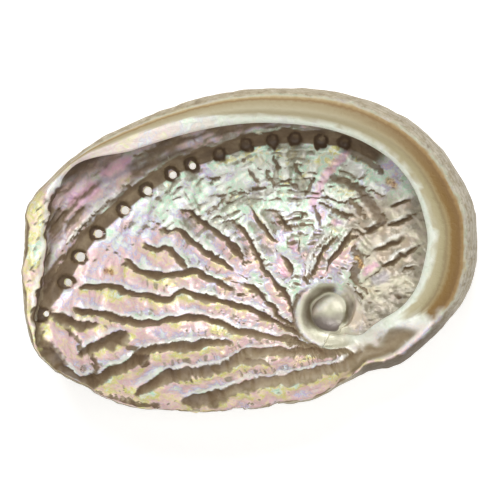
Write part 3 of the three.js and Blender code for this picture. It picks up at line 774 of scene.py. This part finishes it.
# ---- finish ----
class Tree:
    """A material's nodes, added one at a time."""

    def __init__(self, name):
        self.material = bpy.data.materials.new(name)
        self.material.use_nodes = True
        self.nodes = self.material.node_tree.nodes
        self.links = self.material.node_tree.links
        self.shader = self.nodes["Principled BSDF"]

    def add(self, kind, inputs=None, **settings):
        made = self.nodes.new(kind)
        for key, value in settings.items():
            setattr(made, key, value)
        for key, value in (inputs or {}).items():
            self.put(value, made.inputs[key])
        return made

    def put(self, value, socket):
        if isinstance(value, bpy.types.NodeSocket):
            self.links.new(value, socket)
        else:
            socket.default_value = value

    def attribute(self, name):
        return self.add("ShaderNodeAttribute", attribute_name=name).outputs["Fac"]

    def math(self, operation, a, b=0.0, clamp=False):
        return self.add(
            "ShaderNodeMath", {0: a, 1: b}, operation=operation, use_clamp=clamp
        ).outputs[0]

    def noise(self, where, scale, detail=2.0, rough=0.5, warp=0.0):
        return self.add(
            "ShaderNodeTexNoise",
            {"Vector": where, "Scale": scale, "Detail": detail, "Roughness": rough, "Distortion": warp},
        ).outputs["Fac"]

    def ramp(self, fac, stops, mode="LINEAR"):
        made = self.add("ShaderNodeValToRGB", {"Fac": fac})
        made.color_ramp.interpolation = mode
        elements = made.color_ramp.elements
        while len(elements) < len(stops):
            elements.new(0.5)
        for element, (position, colour) in zip(elements, stops):
            element.position = position
            element.color = linear(colour)
        return made.outputs["Color"]

    def mix(self, fac, a, b, blend="MIX"):
        made = self.add("ShaderNodeMix", data_type="RGBA", blend_type=blend)
        self.put(fac, made.inputs["Factor"])
        self.put(a if isinstance(a, bpy.types.NodeSocket) else linear(a), made.inputs[6])
        self.put(b if isinstance(b, bpy.types.NodeSocket) else linear(b), made.inputs[7])
        return made.outputs[2]

    def step(self, value, low, high):
        made = self.add(
            "ShaderNodeMapRange", {"Value": value, "From Min": low, "From Max": high},
            interpolation_type="SMOOTHSTEP",
        )
        return made.outputs["Result"]


def linear(colour):
    """An sRGB colour in 0-255 as the linear colour that Blender takes."""
    values = [c / 255 for c in colour]
    return tuple(v / 12.92 if v < 0.04045 else ((v + 0.055) / 1.055) ** 2.4 for v in values) + (1.0,)


def shell_finish():
    """The nacre with its painted shade and highlights, the horny band and the crust of the back, laid by the
    attributes of the points.
    """
    t = Tree("abalone_nacre")
    where = t.add("ShaderNodeTexCoord").outputs["Object"]
    outside_here = t.attribute("outside")
    shade_and_stain = t.attribute("shade_and_stain")

    # Pearly colours drift through yellow, pink, lilac, blue-white and mint.
    broad = t.noise(where, 120, 2, 0.5, 0.6)
    small = t.noise(where, 420, 3, 0.6, 1.0)
    tiny = t.noise(where, 1100, 2, 0.6, 0.4)
    phase = t.math("ADD", t.math("MULTIPLY", broad, 1.2), t.math("MULTIPLY", small, 0.8))
    phase = t.math("FRACT", t.math("ADD", phase, t.math("ADD", t.attribute("hue"), 3.0)))
    pearl = t.ramp(phase, [
        (0.00, (226, 226, 128)), (0.10, (250, 230, 186)), (0.22, (246, 216, 204)),
        (0.31, (240, 198, 208)), (0.39, (242, 220, 212)), (0.47, (214, 196, 230)),
        (0.55, (222, 232, 242)), (0.65, (246, 248, 238)), (0.77, (200, 242, 212)),
        (0.88, (246, 250, 230)), (1.00, (230, 226, 140)),
    ])
    pearl = t.mix(t.step(tiny, 0.5, 0.74), pearl, (236, 228, 214))

    # The grey-brown of the painted shade and the mottle.
    shade_and_mottle_colour = t.ramp(t.noise(where, 500, 3, 0.6), [
        (0.3, (122, 110, 88)), (0.5, (152, 144, 122)), (0.7, (182, 178, 162)),
    ])
    shade_and_mottle = t.math("ADD", t.attribute("shade_and_mottle"), t.math("MULTIPLY", t.math("SUBTRACT", tiny, 0.5), 0.5))
    pearl = t.mix(t.math("MULTIPLY", t.attribute("cream"), 0.85), pearl, (192, 178, 150))
    pearl = t.mix(t.math("MULTIPLY", t.attribute("wall"), 0.55), pearl, (164, 142, 132))
    pearl = t.mix(t.math("MULTIPLY", t.step(shade_and_mottle, 0.15, 0.9), 0.85), pearl, shade_and_mottle_colour)
    # The painted highlights, laid on as near-white.
    pearl = t.mix(t.math("MULTIPLY", t.attribute("light"), 0.7), pearl, (250, 250, 240))
    pearl = t.mix(t.math("MULTIPLY", t.attribute("pink"), 0.65), pearl, t.ramp(small, [
        (0.35, (206, 158, 200)), (0.5, (240, 176, 204)), (0.65, (244, 200, 206)),
    ]))
    patchy = t.math("MULTIPLY", t.math("SUBTRACT", t.noise(where, 260, 3, 0.6), 0.5), 0.8)
    # The colour of the painted shade and of the stains.
    foot = t.ramp(t.math("ADD", t.attribute("tone"), patchy), [
        (0.00, (82, 62, 42)), (0.25, (98, 78, 54)), (0.5, (116, 96, 70)),
        (0.75, (140, 122, 94)), (1.00, (156, 140, 112)),
    ])
    ragged_shade_and_stain = t.math("ADD", shade_and_stain, t.math("MULTIPLY", t.math("SUBTRACT", small, 0.5), 0.3))
    pearl = t.mix(t.math("MULTIPLY", t.attribute("violet"), 0.6), pearl, (140, 132, 152))
    nacre = t.mix(t.step(ragged_shade_and_stain, 0.1, 0.85), pearl, foot)
    stain = t.ramp(tiny, [(0.35, (120, 76, 30)), (0.5, (186, 138, 60)), (0.65, (230, 204, 140))])
    nacre = t.mix(t.math("MULTIPLY", t.attribute("gold"), 0.8), nacre, stain)
    eye = t.ramp(t.math("ADD", t.attribute("ring_tone"), t.math("MULTIPLY", patchy, 0.35)), [
        (0.1, (104, 92, 70)), (0.4, (144, 138, 114)), (0.65, (194, 192, 166)), (1.0, (236, 232, 210)),
    ])
    eye = t.mix(t.math("MULTIPLY", t.attribute("violet"), 0.7), eye, (134, 122, 122))
    nacre = t.mix(t.math("MULTIPLY", t.attribute("ring"), t.math("SUBTRACT", 1.0, shade_and_stain)), nacre, eye)

    # The shelf of the inner lip: pale green-white nacre, with the brown horny band outside it.
    shelf = t.ramp(t.noise(where, 260, 3, 0.6, 0.8), [
        (0.3, (226, 230, 210)), (0.5, (244, 248, 232)), (0.7, (252, 254, 244)),
    ])
    white = t.math("MULTIPLY", t.attribute("shelf"), 0.85)
    nacre = t.mix(t.math("MULTIPLY", white, t.math("SUBTRACT", 1.0, shade_and_stain)), nacre, shelf)
    across = t.attribute("across")
    lines = t.noise(where, 700, 2, 0.5)
    layer = t.math("ADD", across, t.math("MULTIPLY", t.math("SUBTRACT", lines, 0.5), 0.25))
    layer = t.math("MULTIPLY", layer, 0.4)
    golden = t.ramp(layer, [
        (0.02, (176, 160, 128)), (0.08, (156, 124, 72)), (0.16, (122, 88, 30)), (0.34, (134, 102, 42)),
        (0.44, (158, 138, 92)), (0.52, (144, 126, 86)), (0.64, (170, 158, 118)), (0.85, (186, 176, 140)),
    ])
    tan = t.ramp(layer, [
        (0.02, (192, 178, 144)), (0.1, (172, 148, 100)), (0.16, (146, 118, 72)), (0.24, (174, 158, 120)),
        (0.5, (190, 180, 148)), (0.66, (172, 160, 126)), (0.85, (186, 176, 144)),
    ])
    horny = t.mix(t.attribute("golden"), tan, golden)
    colour = t.mix(t.attribute("band"), nacre, horny)

    crust = t.ramp(t.noise(where, 300, 5, 0.68, 0.3), [
        (0.3, (132, 116, 88)), (0.45, (168, 154, 126)), (0.6, (188, 176, 150)), (0.75, (214, 206, 188)),
    ])
    pale = t.math("MULTIPLY", t.attribute("golden"), t.step(small, 0.35, 0.65))
    crust = t.mix(t.math("MULTIPLY", pale, 0.6), crust, (214, 208, 194))
    wavy = t.math("ADD", t.math("MULTIPLY", across, 42.0), t.math("MULTIPLY", small, 9.0))
    layers = t.math("MULTIPLY", t.step(t.math("SINE", wavy), 0.2, 0.9), 0.35)
    crust = t.mix(layers, crust, (140, 126, 102))
    crust = t.mix(t.math("MULTIPLY", t.attribute("dark_back"), 0.75), crust, (88, 70, 50))
    colour = t.mix(outside_here, colour, crust)

    t.put(colour, t.shader.inputs["Base Color"])
    rough = t.math("ADD", t.math("MULTIPLY", outside_here, 0.42), 0.38)
    rough = t.math("ADD", rough, t.math("MULTIPLY", shade_and_stain, 0.18))
    rough = t.math("ADD", rough, t.math("MULTIPLY", t.attribute("band"), 0.2))
    t.put(rough, t.shader.inputs["Roughness"])
    t.shader.inputs["IOR"].default_value = 1.6
    gleam = t.math("MULTIPLY", t.math("SUBTRACT", 1.0, shade_and_stain), t.math("SUBTRACT", 1.0, outside_here))
    gleam = t.math("MULTIPLY", gleam, t.math("SUBTRACT", 1.0, t.attribute("band")))
    t.put(t.math("MULTIPLY", gleam, 0.15), t.shader.inputs["Metallic"])
    bump = t.add("ShaderNodeBump", {"Height": small, "Strength": 0.35, "Distance": 0.0006})
    t.put(bump.outputs["Normal"], t.shader.inputs["Normal"])
    return t.material


shell.data.materials.clear()
shell.data.materials.append(shell_finish())

# ---- stage, light and camera ----
bpy.ops.mesh.primitive_plane_add(size=FLOOR_SIZE, location=(0, 0, 0))
ground = bpy.context.object
ground.name = "floor"
ground_tree = Tree("pale_floor")
ground_tree.shader.inputs["Base Color"].default_value = (FLOOR_GREY, FLOOR_GREY, FLOOR_GREY, 1)
ground_tree.shader.inputs["Roughness"].default_value = 0.9
ground_tree.shader.inputs["Emission Color"].default_value = (1, 1, 1, 1)
ground_tree.shader.inputs["Emission Strength"].default_value = FLOOR_GLOW
ground.data.materials.append(ground_tree.material)

world = bpy.data.worlds.new("studio")
bpy.context.scene.world = world
world.use_nodes = True
world.node_tree.nodes["Background"].inputs["Color"].default_value = (1.0, 0.98, 0.95, 1)
world.node_tree.nodes["Background"].inputs["Strength"].default_value = AIR_LIGHT


def area_light(name, place, size, power):
    """A soft lamp at a place, turned to face the shell."""
    lamp = bpy.data.lights.new(name, "AREA")
    lamp.shape = "RECTANGLE"
    lamp.size, lamp.size_y = size
    lamp.energy = power
    holder = bpy.data.objects.new(name, lamp)
    bpy.context.collection.objects.link(holder)
    holder.location = place
    holder.rotation_euler = (Vector(AIM) - Vector(place)).to_track_quat("-Z", "Y").to_euler()


area_light("key", (-0.1, 0.42, 0.62), (0.4, 0.3), 3.5)
area_light("fill", (0.5, -0.2, 0.5), (0.5, 0.5), 0.7)
area_light("top", (0, -0.2, 0.95), (0.7, 0.7), 3.9)

camera = bpy.data.cameras.new("camera")
holder = bpy.data.objects.new("camera", camera)
bpy.context.collection.objects.link(holder)
camera.sensor_width = SENSOR
camera.lens = LENS
distance = SPAN * LENS / SENSOR
holder.location = (CAMERA_X, 0, RIM_HEIGHT + distance)
camera.clip_end = 10
bpy.context.scene.camera = holder
bpy.context.scene.view_settings.view_transform = "Standard"
